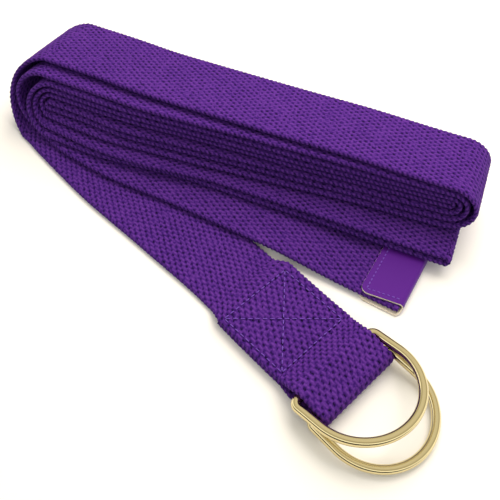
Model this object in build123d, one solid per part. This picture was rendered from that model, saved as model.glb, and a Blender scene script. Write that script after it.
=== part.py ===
"""Stretching strap, folded flat: cotton webbing, two D-rings, a vinyl tip and its stitching.

Millimetres, +Z up. The strap lies on z = 0 and its top leg runs along +X. The origin is at
the middle of the part's footprint.
"""

import os
from math import atan2, cos, degrees, hypot, pi, radians, sin

from build123d import *

# Webbing
WEB_WIDTH = 38.0
WEB_THICK = 2.4
NEAR_PITCH = 2.85
FAR_PITCH = 2.54

# Drop of the folded legs towards the right-hand end, where fewer layers lie under them
SAG_FROM_X = 22.0
SAG_TO_X = 72.0
SAG_BUNDLE = 0.80
SAG_STEPS = 4
# The tip leg comes down off the sewn leg to this height of its middle surface
TIP_DROP_FROM_X = 3.0
TIP_DROP_TO_X = 49.0
TIP_LEVEL = 2.15

# Half turns of the folds
FOLD_STEPS = 10

# Near edge of every leg but the sewn one: (layer, [(x, y), ...]) from left to right
LEGS = {
    "tip": (1, [(-125.0, 24.0), (-108.0, 15.8), (-80.0, 9.8), (-42.0, 7.2), (10.0, 1.8), (70.6, -6.6)]),
    "low_a": (2, [(-119.0, 19.5), (-88.0, 17.0), (-45.0, 21.8), (83.0, 22.4)]),
    "low_b": (3, [(-119.0, 22.5), (-84.0, 17.9), (-60.0, 19.0), (-30.0, 22.8), (83.0, 23.6)]),
    "low_c": (4, [(-119.0, 26.5), (-86.0, 23.4), (-37.0, 27.8), (31.0, 35.0), (77.0, 38.6)]),
    "low_d": (5, [(-119.0, 29.0), (-98.0, 28.6), (-78.0, 26.6), (-58.0, 28.6), (77.0, 40.4)]),
    "top_d": (6, [(-119.0, 30.0), (-98.0, 29.4), (-78.0, 27.0), (-58.0, 29.2), (77.0, 41.6)]),
    "top_c": (7, [(-119.0, 32.2), (-76.0, 31.6), (-35.0, 34.8), (9.0, 36.8), (77.0, 43.0)]),
    "top_b": (8, [(-119.0, 32.6), (-76.0, 31.6), (-35.0, 34.8), (9.0, 36.8), (77.0, 43.0)]),
    "top_a": (9, [(-119.0, 33.4), (-76.0, 32.2), (-35.0, 35.4), (9.0, 37.4), (77.0, 42.6)]),
    "top_tip": (10, [(-125.0, 35.2), (-98.0, 34.6), (-72.0, 33.4), (-15.0, 37.2), (77.0, 42.2)]),
    "top": (11, [(-127.0, 43.0), (-98.0, 42.4), (-75.0, 40.6), (-20.0, 41.0), (30.0, 42.4), (77.0, 42.8)]),
}

# Folds at the left: (lower leg, upper leg, reach of the half turn, tilt of the fold line in degrees)
LEFT_FOLDS = {
    "sewn": ("sewn", "top", 13.2, 6.0),
    "tip": ("tip", "top_tip", 12.5, 4.0),
    "a": ("low_a", "top_a", 10.1, 1.0),
    "b": ("low_b", "top_b", 7.2, 0.5),
    "c": ("low_c", "top_c", 4.35, 0.0),
    "d": ("low_d", "top_d", 1.45, 0.0),
}
# Folds at the right
RIGHT_FOLDS = {
    "outer": ("low_c", "top", 11.4, 0.0),
    "third": ("low_d", "top_tip", 7.6, 0.0),
    "second": ("top_d", "top_a", 4.4, 0.0),
    "inner": ("top_c", "top_b", 1.45, 0.0),
    "low": ("low_a", "low_b", 1.45, 0.0),
}

# Sewn leg and its ring loop. Distances run back from the closed end of the loop.
SEWN_NEAR_START = (-131.0, 19.0)
SEWN_NEAR_END = (59.4, -65.8)
FLAP_END = 62.5
FLAP_START = 26.5
LOOP_TURN_X = 4.7
LOOP_TURN_RISE = 6.55
LOOP_TURN_STEPS = 8
# Middle of the upper layer, from the turn to the plain leg: (distance back, height)
LOOP_TOP = [
    (9.0, 8.3),
    (12.2, 9.35),
    (15.2, 9.65),
    (17.6, 9.0),
    (24.6, 4.4),
    (26.5, 3.7),
    (63.2, 3.7),
    (69.9, 1.201),
]

# Extra width of the doubled webbing, which sewing beats out flat
NEAR_SPREAD = 2.0
FAR_SPREAD_AT_RING = 0.4
FAR_SPREAD_AT_FLAP = 2.4
FAR_SPREAD_FROM = 17.6

# D-rings
WIRE = 3.8
RING_HALF = 23.5
RING_STRAIGHT = 13.6
RING_CORNER = 2.8
UPPER_LATERAL = -1.6
UPPER_BAR_BACK = 15.0
UPPER_BAR_Z = 6.45
UPPER_TILT = 10.3
LOWER_LATERAL = -1.6
LOWER_BAR_BACK = 6.3
LOWER_BAR_Z = 4.35
LOWER_TILT = -3.75

# Vinyl tip
TIP_LENGTH = 19.0
TIP_THICK = 0.85
TIP_GAP = 0.06
TIP_CORNER = 3.0
TIP_END_GAP = 0.25

# Thread
THREAD = 0.8
THREAD_HIGH = 0.30
THREAD_GAP = 0.05
BOX_FROM = 27.0
BOX_TO = 61.0
BOX_INSET = 0.6
TIP_STITCH_INSET = 2.6

# Middle of the footprint in the layout frame, moved to the origin
CENTRE = (-22.43, 1.49)


def smooth(t):
    """Eased 0 to 1 ramp."""
    t = min(max(t, 0.0), 1.0)
    return t * t * (3.0 - 2.0 * t)


def unit(dx, dy):
    """Unit vector in plan."""
    size = hypot(dx, dy)
    return dx / size, dy / size


def far_normal(direction):
    """Plan normal of a leg, pointing to its far edge (+Y side)."""
    dx, dy = direction
    return (-dy, dx) if dx > 0 else (dy, -dx)


def leg_height(name, x, pitch):
    """Height of a leg's middle surface at x, on the edge whose layers lie at this pitch."""
    level = WEB_THICK / 2 + LEGS[name][0] * pitch
    if name == "tip":
        share = smooth((x - TIP_DROP_FROM_X) / (TIP_DROP_TO_X - TIP_DROP_FROM_X))
        return level + (TIP_LEVEL - level) * share
    return level - SAG_BUNDLE * smooth((x - SAG_FROM_X) / (SAG_TO_X - SAG_FROM_X))


def fold_axis(tilt):
    """Direction of a fold line in plan."""
    return sin(radians(tilt)), cos(radians(tilt))


def across(near, axis, normal):
    """Far-edge point opposite a near-edge point, along axis, so the strip keeps its width."""
    reach = WEB_WIDTH / (axis[0] * normal[0] + axis[1] * normal[1])
    return near[0] + axis[0] * reach, near[1] + axis[1] * reach


def leg_points(name):
    """Near-edge points of a leg with extra ones where the bundle sags, left to right."""
    points = LEGS[name][1]
    start, end = (TIP_DROP_FROM_X, TIP_DROP_TO_X) if name == "tip" else (SAG_FROM_X, SAG_TO_X)
    steps = [start + (end - start) * i / SAG_STEPS for i in range(SAG_STEPS + 1)]
    result = []
    for (x0, y0), (x1, y1) in zip(points, points[1:]):
        result.append((x0, y0))
        inner = [x for x in steps if x0 + 2.0 < x < x1 - 2.0]
        result += [(x, y0 + (y1 - y0) * (x - x0) / (x1 - x0)) for x in inner]
    return result + [points[-1]]


def mean_axis(points, i):
    """Square-across direction at an inner point of a polyline."""
    before = unit(points[i][0] - points[i - 1][0], points[i][1] - points[i - 1][1])
    after = unit(points[i + 1][0] - points[i][0], points[i + 1][1] - points[i][1])
    return far_normal(unit(before[0] + after[0], before[1] + after[1]))


def leg_stations(name, left_tilt, right_tilt):
    """Stations of one leg, left to right: (near xyz, far xyz)."""
    points = leg_points(name)
    last = len(points) - 1
    stations = []
    for i, near in enumerate(points):
        if i == 0:
            axis = fold_axis(left_tilt)
            normal = far_normal(unit(points[1][0] - near[0], points[1][1] - near[1]))
        elif i == last:
            axis = fold_axis(right_tilt)
            normal = far_normal(unit(near[0] - points[i - 1][0], near[1] - points[i - 1][1]))
        else:
            axis = mean_axis(points, i)
            normal = axis
        far = across(near, axis, normal)
        near_height = leg_height(name, near[0], NEAR_PITCH)
        far_height = leg_height(name, far[0], FAR_PITCH)
        stations.append(((*near, near_height), (*far, far_height)))
    return stations


def fold_stations(start, end, reach, tilt, side, rising):
    """Stations inside a half turn from start to end, without the two tangent ones."""
    axis = fold_axis(tilt)
    outward = (side * axis[1], -side * axis[0])
    low, high = (start, end) if rising else (end, start)
    result = []
    for i in range(1, FOLD_STEPS):
        t = i / FOLD_STEPS
        angle = -pi / 2 + pi * t
        edge = []
        for k in range(2):
            x = low[k][0] + (high[k][0] - low[k][0]) * t + outward[0] * reach * cos(angle)
            y = low[k][1] + (high[k][1] - low[k][1]) * t + outward[1] * reach * cos(angle)
            middle = (low[k][2] + high[k][2]) / 2
            z = middle + (high[k][2] - low[k][2]) / 2 * sin(angle)
            edge.append((x, y, z))
        result.append(tuple(edge))
    return result if rising else result[::-1]


def sewn_frame():
    """Plan frame of the sewn leg: closed end's middle, outward and far directions."""
    ahead = unit(SEWN_NEAR_END[0] - SEWN_NEAR_START[0], SEWN_NEAR_END[1] - SEWN_NEAR_START[1])
    side = far_normal(ahead)
    middle = (SEWN_NEAR_END[0] + side[0] * WEB_WIDTH / 2, SEWN_NEAR_END[1] + side[1] * WEB_WIDTH / 2)
    return middle, ahead, side


def sewn_point(back, lateral, z):
    """Point given by its distance back from the closed end and its offset to the far side."""
    middle, ahead, side = sewn_frame()
    x = middle[0] - ahead[0] * back + side[0] * lateral
    y = middle[1] - ahead[1] * back + side[1] * lateral
    return x, y, z


def sewn_profile():
    """Middle line of the sewn end, from the cut flap round the loop to the plain leg: (back, z)."""
    low = WEB_THICK / 2
    flap = [(FLAP_END, low), (FLAP_START, low)]
    turn = []
    radius = LOOP_TURN_RISE / 2
    for i in range(LOOP_TURN_STEPS + 1):
        angle = -pi / 2 + pi * i / LOOP_TURN_STEPS
        turn.append((LOOP_TURN_X - radius * cos(angle), low + radius + radius * sin(angle)))
    return flap + turn + LOOP_TOP


def sewn_edges(back):
    """Offsets of the near and far edges of the sewn leg at a distance back from the closed end."""
    half = WEB_WIDTH / 2
    plain_from = LOOP_TOP[-1][0]
    if back >= plain_from:
        return -half, half
    share = min(max((back - FAR_SPREAD_FROM) / (FLAP_START - FAR_SPREAD_FROM), 0.0), 1.0)
    far_spread = FAR_SPREAD_AT_RING + (FAR_SPREAD_AT_FLAP - FAR_SPREAD_AT_RING) * share
    return -half - NEAR_SPREAD, half + far_spread


def sewn_stations():
    """Stations of the sewn leg, from the cut end to the left fold."""
    stations = []
    for back, z in sewn_profile():
        near, far = sewn_edges(back)
        stations.append((sewn_point(back, near, z), sewn_point(back, far, z)))
    side = sewn_frame()[2]
    near = (*SEWN_NEAR_START, WEB_THICK / 2)
    far = (*across(SEWN_NEAR_START, fold_axis(LEFT_FOLDS["sewn"][3]), side), WEB_THICK / 2)
    return stations + [(near, far)]


def strap_stations():
    """Every station of the webbing, from the cut end in the ring loop to the tip."""
    left = {}
    for low, high, reach, tilt in LEFT_FOLDS.values():
        left[low] = left[high] = (reach, tilt)
    right = {}
    for low, high, reach, tilt in RIGHT_FOLDS.values():
        right[low] = right[high] = (reach, tilt)
    tip_points = LEGS["tip"][1]
    tip_yaw = atan2(tip_points[-1][1] - tip_points[-2][1], tip_points[-1][0] - tip_points[-2][0])
    right["tip"] = (0.0, -degrees(tip_yaw))

    order = ["top", "low_c", "top_c", "top_b", "low_b", "low_a", "top_a", "top_d", "low_d", "top_tip", "tip"]
    stations = sewn_stations()
    side = -1
    previous = stations[-1]
    for name in order:
        leg = leg_stations(name, left[name][1], right[name][1])
        if side > 0:
            leg = leg[::-1]
        reach, tilt = (left if side < 0 else right)[name]
        rising = leg[0][0][2] > previous[0][2]
        stations += fold_stations(previous, leg[0], reach, tilt, side, rising)
        stations += leg
        previous = stations[-1]
        side = -side
    return stations


def subtract(a, b):
    """Vector from b to a."""
    return a[0] - b[0], a[1] - b[1], a[2] - b[2]


def cross(a, b):
    """Cross product."""
    return a[1] * b[2] - a[2] * b[1], a[2] * b[0] - a[0] * b[2], a[0] * b[1] - a[1] * b[0]


def scaled(v, size):
    """Vector v brought to a length."""
    length = (v[0] ** 2 + v[1] ** 2 + v[2] ** 2) ** 0.5
    return v[0] * size / length, v[1] * size / length, v[2] * size / length


def middle_of(station):
    """Middle point of a station."""
    near, far = station
    return (near[0] + far[0]) / 2, (near[1] + far[1]) / 2, (near[2] + far[2]) / 2


def station_normals(stations):
    """Unit thickness direction at every station, the same face of the webbing throughout."""
    middles = [middle_of(s) for s in stations]
    last = len(stations) - 1
    normals = []
    for i, (near, far) in enumerate(stations):
        before = scaled(subtract(middles[max(i, 1)], middles[max(i, 1) - 1]), 1.0)
        after = scaled(subtract(middles[min(i, last - 1) + 1], middles[min(i, last - 1)]), 1.0)
        along = tuple(b + a for b, a in zip(before, after))
        bend = sum((b + a) ** 2 for b, a in zip(before, after)) ** 0.5 / 2
        normals.append(scaled(cross(subtract(far, near), along), 1.0 / bend))
    return normals


def move(point):
    """Layout point to the part's own frame."""
    return Vector(point[0] - CENTRE[0], point[1] - CENTRE[1], point[2])


def webbing():
    """The whole strap as one ruled strip of constant thickness."""
    stations = strap_stations()
    half = WEB_THICK / 2
    rings = []
    for (near, far), normal in zip(stations, station_normals(stations)):
        step = tuple(half * n for n in normal)
        corners = [
            move(tuple(p - s for p, s in zip(near, step))),
            move(tuple(p - s for p, s in zip(far, step))),
            move(tuple(p + s for p, s in zip(far, step))),
            move(tuple(p + s for p, s in zip(near, step))),
        ]
        rings.append(Wire.make_polygon(corners, close=True))
    return Solid.make_loft(rings, ruled=True)


def sewn_plane(back, lateral, z, tilt):
    """Plane with X outward along the sewn leg, tilted up by tilt degrees, and Y from near to far."""
    middle, ahead, side = sewn_frame()
    lift = radians(tilt)
    x_dir = Vector(ahead[0] * cos(lift), ahead[1] * cos(lift), sin(lift))
    y_dir = Vector(side[0], side[1], 0)
    return Plane(origin=move(sewn_point(back, lateral, z)), x_dir=x_dir, z_dir=x_dir.cross(y_dir))


def d_ring(back, lateral, z, tilt):
    """Round-wire D-ring: straight bar, two corners, two short sides and a half-round bow."""
    half = RING_HALF
    corner = RING_CORNER
    straight = RING_STRAIGHT
    with BuildPart() as ring:
        with BuildLine() as path:
            bar = Line((0, -half + corner), (0, half - corner))
            far_corner = RadiusArc(bar @ 1, (corner, half), corner)
            far_side = Line(far_corner @ 1, (straight, half))
            bow = RadiusArc(far_side @ 1, (straight, -half), half)
            near_side = Line(bow @ 1, (corner, -half))
            RadiusArc(near_side @ 1, bar @ 0, corner)
        with BuildSketch(Plane(origin=path.line @ 0, z_dir=path.line % 0)):
            Circle(WIRE / 2)
        sweep()
    return sewn_plane(back, lateral, z, tilt).location * ring.part


def tip_plane(z):
    """Plane at the tip end's middle, X running outward along the tip leg."""
    points = LEGS["tip"][1]
    ahead = unit(points[-1][0] - points[-2][0], points[-1][1] - points[-2][1])
    side = far_normal(ahead)
    x = points[-1][0] + side[0] * WEB_WIDTH / 2
    y = points[-1][1] + side[1] * WEB_WIDTH / 2
    return Plane(origin=move((x, y, z)), x_dir=Vector(*ahead, 0), z_dir=Vector(0, 0, 1))


def tip_levels():
    """Bottom and top of the webbing at the tip."""
    return TIP_LEVEL - WEB_THICK / 2, TIP_LEVEL + WEB_THICK / 2


def tip_cover():
    """Vinyl folded round the strap's end: two panels joined by a rounded fold."""
    web_low, web_high = tip_levels()
    hollow = web_high - web_low + 2 * TIP_GAP
    radius = hollow / 2 + TIP_THICK
    base = tip_plane((web_low + web_high) / 2)
    profile = Plane(origin=base.origin, x_dir=base.x_dir, z_dir=base.x_dir.cross(base.z_dir))
    with BuildPart() as cover:
        with BuildSketch(profile):
            with Locations((-TIP_LENGTH / 2, 0)):
                Rectangle(TIP_LENGTH, 2 * radius)
            with Locations((TIP_END_GAP + TIP_THICK - radius, 0)):
                Circle(radius)
            with Locations((TIP_END_GAP - TIP_LENGTH, 0)):
                Rectangle(2 * TIP_LENGTH, hollow, mode=Mode.SUBTRACT)
        extrude(amount=WEB_WIDTH / 2, both=True)
        with BuildSketch(base.offset(-radius)):
            RectangleRounded(2 * TIP_LENGTH, WEB_WIDTH, TIP_CORNER)
        extrude(amount=2 * radius, mode=Mode.INTERSECT)
    return cover.part


def tip_stitch():
    """Thread run along the cut edge and both long edges of the tip's upper panel."""
    level = tip_levels()[1] + TIP_GAP + TIP_THICK + THREAD_GAP
    long_run = TIP_LENGTH - TIP_STITCH_INSET
    wide_run = WEB_WIDTH - 2 * TIP_STITCH_INSET
    with BuildPart() as thread:
        with BuildSketch(tip_plane(level)):
            with Locations((-TIP_LENGTH + TIP_STITCH_INSET, 0)):
                Rectangle(THREAD, wide_run)
            with Locations((-long_run / 2, wide_run / 2), (-long_run / 2, -wide_run / 2)):
                Rectangle(long_run, THREAD)
        extrude(amount=THREAD_HIGH)
    return thread.part


def loop_stitch():
    """Boxed cross of thread that closes the ring loop, lying on the upper layer."""
    level = LOOP_TOP[-2][1] + WEB_THICK / 2 + THREAD_GAP
    long_run = BOX_TO - BOX_FROM
    wide_run = WEB_WIDTH - 2 * BOX_INSET
    slope = degrees(atan2(wide_run, long_run))
    diagonal = hypot(long_run, wide_run) - THREAD
    with BuildPart() as thread:
        with BuildSketch(sewn_plane((BOX_FROM + BOX_TO) / 2, 0.0, level, 0.0)):
            Rectangle(long_run, wide_run)
            Rectangle(long_run - 2 * THREAD, wide_run - 2 * THREAD, mode=Mode.SUBTRACT)
            for turn in (slope, -slope):
                Rectangle(diagonal, THREAD, rotation=turn)
        extrude(amount=THREAD_HIGH)
    return thread.part


def main():
    """Write every sub-part as a STEP file."""
    os.makedirs("parts", exist_ok=True)
    nodes = {
        "webbing": webbing(),
        "loop_stitch": loop_stitch(),
        "upper_ring": d_ring(UPPER_BAR_BACK, UPPER_LATERAL, UPPER_BAR_Z, UPPER_TILT),
        "lower_ring": d_ring(LOWER_BAR_BACK, LOWER_LATERAL, LOWER_BAR_Z, LOWER_TILT),
        "tip_cover": tip_cover(),
        "tip_stitch": tip_stitch(),
    }
    for name, solid in nodes.items():
        export_step(solid, os.path.join("parts", f"{name}.step"))
        box = solid.bounding_box()
        print(name, round(solid.volume, 1), solid.is_valid, box.min, box.max)


if __name__ == "__main__":
    main()
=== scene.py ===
"""Folded stretching strap: woven cotton webbing, a pair of nickel D-rings and a stitched vinyl tip.

Everything is built in the part's own frame, in metres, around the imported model. Sizes in the
dataclasses below are millimetres, in the layout that the strap was folded in, and Layout turns
them into the part's frame.
"""

import logging
import math
from dataclasses import dataclass, field
from enum import Enum
from typing import Any, Callable, Sequence

import bpy
import numpy as np
from mathutils import Matrix, Vector


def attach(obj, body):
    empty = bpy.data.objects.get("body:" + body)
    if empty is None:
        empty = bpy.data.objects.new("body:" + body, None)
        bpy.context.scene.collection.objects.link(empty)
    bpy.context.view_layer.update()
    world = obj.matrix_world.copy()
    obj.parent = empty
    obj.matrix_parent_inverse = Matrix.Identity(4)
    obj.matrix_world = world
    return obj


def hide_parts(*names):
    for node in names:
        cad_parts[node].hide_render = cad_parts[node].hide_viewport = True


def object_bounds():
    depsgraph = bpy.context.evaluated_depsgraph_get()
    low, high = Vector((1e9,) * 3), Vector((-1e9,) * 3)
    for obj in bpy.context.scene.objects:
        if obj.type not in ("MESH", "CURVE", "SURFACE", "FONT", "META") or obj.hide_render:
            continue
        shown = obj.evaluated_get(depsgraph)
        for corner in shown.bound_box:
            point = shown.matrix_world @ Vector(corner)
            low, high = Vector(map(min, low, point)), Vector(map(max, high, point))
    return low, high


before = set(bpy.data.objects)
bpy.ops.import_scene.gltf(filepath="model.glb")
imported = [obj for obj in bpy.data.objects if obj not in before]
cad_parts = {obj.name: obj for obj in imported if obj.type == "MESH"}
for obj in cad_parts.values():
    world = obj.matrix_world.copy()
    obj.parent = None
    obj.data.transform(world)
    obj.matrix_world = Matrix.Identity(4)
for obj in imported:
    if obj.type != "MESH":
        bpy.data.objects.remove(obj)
CAD_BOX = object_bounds()

MM = 0.001
LOG = logging.getLogger("strap")

Point = tuple[float, float]
Line = tuple[Point, Point]
Array = np.ndarray
UP = np.array([0.0, 0.0, 1.0])


# ---------------------------------------------------------------------------------------------
# Small helpers
# ---------------------------------------------------------------------------------------------


def hex_colour(code: str) -> tuple[float, float, float, float]:
    """Turn an sRGB hex colour into linear RGBA.

    Args:
        code: Six hex digits.

    Returns:
        Linear red, green and blue with an alpha of one.
    """
    parts = [int(code[i : i + 2], 16) / 255 for i in (0, 2, 4)]
    linear = [c / 12.92 if c <= 0.04045 else ((c + 0.055) / 1.055) ** 2.4 for c in parts]
    return linear[0], linear[1], linear[2], 1.0


def smooth(t: Array | float) -> Array:
    """Eased ramp that is 0 below 0 and 1 above 1."""
    t = np.clip(t, 0.0, 1.0)
    return t * t * (3.0 - 2.0 * t)


def unit(v: Array) -> Array:
    """Vectors brought to length one along the last axis."""
    return v / np.linalg.norm(v, axis=-1, keepdims=True)


def add_node(
    tree: bpy.types.NodeTree, kind: str, links: dict[Any, Any] | None = None, **settings: Any
) -> Any:
    """Add one shader node.

    Args:
        tree: The node tree.
        kind: The node's type without its Shader prefix.
        links: What goes into each input: an output socket is linked, anything else is its value.
        **settings: Properties of the node itself.

    Returns:
        The new node.
    """
    node = tree.nodes.new("ShaderNode" + kind)
    for name, value in settings.items():
        setattr(node, name, value)
    for name, value in (links or {}).items():
        if isinstance(value, bpy.types.NodeSocket):
            tree.links.new(value, node.inputs[name])
        else:
            node.inputs[name].default_value = value
    return node


def noise(tree: bpy.types.NodeTree, place: Any, size_mm: float, detail: float = 2.0) -> Any:
    """Add a noise fixed to the object.

    Args:
        tree: The node tree.
        place: The texture coordinate node.
        size_mm: One over its scale.
        detail: Levels of finer noise in it.

    Returns:
        The noise's value socket.
    """
    links = {"Vector": place.outputs["Object"], "Scale": 1 / (size_mm * MM), "Detail": detail}
    return add_node(tree, "TexNoise", links).outputs["Fac"]


def bump(tree: bpy.types.NodeTree, height: Any, strength: float, depth_mm: float) -> Any:
    """Add a bump.

    Args:
        tree: The node tree.
        height: The socket that gives its height.
        strength: How much of it shows.
        depth_mm: Its full depth.

    Returns:
        The bumped normal's socket.
    """
    links = {"Height": height, "Strength": strength, "Distance": depth_mm * MM}
    return add_node(tree, "Bump", links).outputs["Normal"]


def multiply_add(tree: bpy.types.NodeTree, value: Any, factor: float, added: Any) -> Any:
    """Add a node that multiplies a value and then adds to it.

    Args:
        tree: The node tree.
        value: The value's socket.
        factor: What it is multiplied by.
        added: What is added, a number or a socket.

    Returns:
        The result's socket.
    """
    return add_node(tree, "Math", {0: value, 1: factor, 2: added}, operation="MULTIPLY_ADD").outputs[0]


def set_ramp(node: Any, stops: Sequence[tuple[float, tuple[float, float, float, float]]]) -> Any:
    """Give a colour ramp its stops.

    Args:
        node: The ramp node.
        stops: Pairs of position and colour, from low to high.

    Returns:
        The same node.
    """
    ramp = node.color_ramp
    while len(ramp.elements) < len(stops):
        ramp.elements.new(0.5)
    for element, (position, colour) in zip(ramp.elements, stops):
        element.position = position
        element.color = colour
    return node


def new_material(name: str) -> tuple[bpy.types.Material, bpy.types.NodeTree, Any]:
    """Make an empty material with an output.

    Args:
        name: The material's name.

    Returns:
        The material, its tree and the output node.
    """
    material = bpy.data.materials.new(name)
    material.use_nodes = True
    tree = material.node_tree
    tree.nodes.clear()
    return material, tree, tree.nodes.new("ShaderNodeOutputMaterial")


def add_surface(tree: bpy.types.NodeTree, output: Any, links: dict[str, Any]) -> None:
    """Shade a material with one principled node.

    Args:
        tree: The node tree.
        output: Its output node.
        links: What goes into each input.
    """
    shader = add_node(tree, "BsdfPrincipled", links)
    tree.links.new(shader.outputs[0], output.inputs["Surface"])


def mesh_object(
    name: str, points: Array, faces: Array | Sequence[Sequence[int]], materials: Sequence[bpy.types.Material]
) -> bpy.types.Object:
    """Make a smooth-shaded mesh object.

    Args:
        name: The object's name.
        points: Vertices in metres, one row each.
        faces: Vertex numbers of each face.
        materials: Its materials, in slot order.

    Returns:
        The linked object.
    """
    mesh = bpy.data.meshes.new(name)
    if isinstance(faces, np.ndarray):
        mesh.vertices.add(len(points))
        mesh.vertices.foreach_set("co", points.astype(np.float32).ravel())
        mesh.loops.add(faces.size)
        mesh.loops.foreach_set("vertex_index", faces.astype(np.int32).ravel())
        mesh.polygons.add(len(faces))
        mesh.polygons.foreach_set("loop_start", np.arange(0, faces.size, faces.shape[1], dtype=np.int32))
    else:
        mesh.from_pydata(points.tolist(), [], [list(f) for f in faces])
    mesh.polygons.foreach_set("use_smooth", np.ones(len(mesh.polygons), bool))
    mesh.update(calc_edges=True)
    mesh.validate()
    for material in materials:
        mesh.materials.append(material)
    thing = bpy.data.objects.new(name, mesh)
    bpy.context.scene.collection.objects.link(thing)
    return thing


def tube_faces(rings: int, around: int, closed: bool) -> Array:
    """Quads of a tube whose rings hold the same number of vertices.

    Args:
        rings: How many rings.
        around: Vertices in a ring.
        closed: Whether the last ring joins the first.

    Returns:
        One row of four vertex numbers per quad.
    """
    i = np.arange(rings if closed else rings - 1)[:, None]
    j = np.arange(around)[None, :]
    following = (i + 1) % rings
    beside = (j + 1) % around
    quads = np.stack(
        [i * around + j, i * around + beside, following * around + beside, following * around + j], axis=-1
    )
    return quads.reshape(-1, 4)


# ---------------------------------------------------------------------------------------------
# Finishes
# ---------------------------------------------------------------------------------------------


@dataclass(frozen=True)
class CottonWebbing:
    """Piece-dyed cotton webbing, plain woven from thick warp yarns: matt, with fibre ends as a fine bump,
    a painted highlight on the crowns of the yarns and painted shade in the hollows between them."""

    # crown is a painted highlight on the raised yarns and gap is painted shade in the hollows between them;
    # flank lies between the two
    crown: str = "61318F"
    flank: str = "39166A"
    gap: str = "0C0324"
    sheen: str = "A87FCF"
    roughness: float = 0.82
    fibre_mm: float = 0.16
    fibre_depth_mm: float = 0.12
    patch_mm: float = 14.0
    patch_share: float = 0.20
    patch_shift: float = -0.10
    fleck_mm: float = 0.9
    fleck_share: float = 0.9
    fleck_shift: float = -0.47

    def material(self) -> bpy.types.Material:
        """Build the material, which reads the mesh's relief attribute for painted light: lighter on raised
        yarns, painted shade in the hollows.
        """
        material, tree, output = new_material("woven_cotton_webbing")
        place = add_node(tree, "TexCoord")
        height = add_node(tree, "Attribute", attribute_name="relief")
        patches = noise(tree, place, self.patch_mm, detail=3.0)
        flecks = noise(tree, place, self.fleck_mm)
        drift = multiply_add(tree, patches, self.patch_share, self.patch_shift)
        speck = multiply_add(tree, flecks, self.fleck_share, self.fleck_shift)
        uneven = add_node(tree, "Math", {0: height.outputs["Fac"], 1: drift}, operation="ADD")
        depth = add_node(tree, "Math", {0: uneven.outputs[0], 1: speck}, operation="ADD")
        # Ramp from painted shade in the hollows through flank to a painted highlight on the crowns; patches
        # and flecks only vary the tone at random
        tone_and_shade = set_ramp(
            add_node(tree, "ValToRGB", {"Fac": depth.outputs[0]}),
            [(0.0, hex_colour(self.gap)), (0.45, hex_colour(self.flank)), (1.0, hex_colour(self.crown))],
        )
        fibres = noise(tree, place, self.fibre_mm)
        add_surface(
            tree,
            output,
            {
                "Base Color": tone_and_shade.outputs["Color"],
                "Roughness": self.roughness,
                "Specular IOR Level": 0.15,
                "Sheen Weight": 0.05,
                "Sheen Roughness": 0.45,
                "Sheen Tint": hex_colour(self.sheen),
                "Normal": bump(tree, fibres, strength=0.35, depth_mm=self.fibre_depth_mm),
            },
        )
        return material


@dataclass(frozen=True)
class SpunThread:
    """Spun polyester sewing thread, brighter than the webbing because its filaments throw light back
    along their length."""

    colour: str = "6A3BB0"
    band_scale: float = 289.5194
    ply_depth_mm: float = 0.08

    def material(self) -> bpy.types.Material:
        """Build the material, with slanting bands as a bump for its plies."""
        material, tree, output = new_material("spun_polyester_thread")
        place = add_node(tree, "TexCoord")
        plies = add_node(
            tree,
            "TexWave",
            {"Vector": place.outputs["Object"], "Scale": self.band_scale, "Distortion": 0.4},
            bands_direction="DIAGONAL",
        )
        add_surface(
            tree,
            output,
            {
                "Base Color": hex_colour(self.colour),
                "Roughness": 0.5,
                "Sheen Weight": 0.25,
                "Normal": bump(tree, plies.outputs["Fac"], strength=0.5, depth_mm=self.ply_depth_mm),
            },
        )
        return material


@dataclass(frozen=True)
class NickelPlate:
    """Bright nickel plate on bent steel wire: a clear, slightly warm mirror with a faint fine grain
    and small rubbed spots."""

    colour: str = "DACB9C"
    roughness: float = 0.07
    rubbed_roughness: float = 0.13
    rub_mm: float = 5.0
    grain_mm: float = 0.7
    grain_depth_mm: float = 0.05

    def material(self) -> bpy.types.Material:
        """Build the material."""
        material, tree, output = new_material("bright_nickel_plated_wire")
        place = add_node(tree, "TexCoord")
        rough = add_node(
            tree,
            "MapRange",
            {
                "Value": noise(tree, place, self.rub_mm, detail=4.0),
                "From Min": 0.35,
                "From Max": 0.75,
                "To Min": self.roughness,
                "To Max": self.rubbed_roughness,
            },
        )
        grain = noise(tree, place, self.grain_mm)
        add_surface(
            tree,
            output,
            {
                "Base Color": hex_colour(self.colour),
                "Metallic": 1.0,
                "Roughness": rough.outputs["Result"],
                "Normal": bump(tree, grain, strength=0.05, depth_mm=self.grain_depth_mm),
            },
        )
        return material


@dataclass(frozen=True)
class SoftVinyl:
    """Calendered soft vinyl: an even, saturated sheet with a soft, slightly wavy gloss."""

    colour: str = "541A84"
    roughness: float = 0.42
    wave_mm: float = 9.0
    pore_mm: float = 0.35
    pore_share: float = 0.04
    wave_depth_mm: float = 0.5

    def material(self) -> bpy.types.Material:
        """Build the material."""
        material, tree, output = new_material("calendered_soft_vinyl")
        place = add_node(tree, "TexCoord")
        waves = noise(tree, place, self.wave_mm)
        pores = noise(tree, place, self.pore_mm)
        both = multiply_add(tree, pores, self.pore_share, waves)
        add_surface(
            tree,
            output,
            {
                "Base Color": hex_colour(self.colour),
                "Roughness": self.roughness,
                "IOR": 1.53,
                "Specular IOR Level": 0.18,
                "Subsurface Weight": 0.05,
                "Subsurface Radius": (0.0008, 0.0004, 0.0012),
                "Normal": bump(tree, both, strength=0.35, depth_mm=self.wave_depth_mm),
            },
        )
        return material


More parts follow.
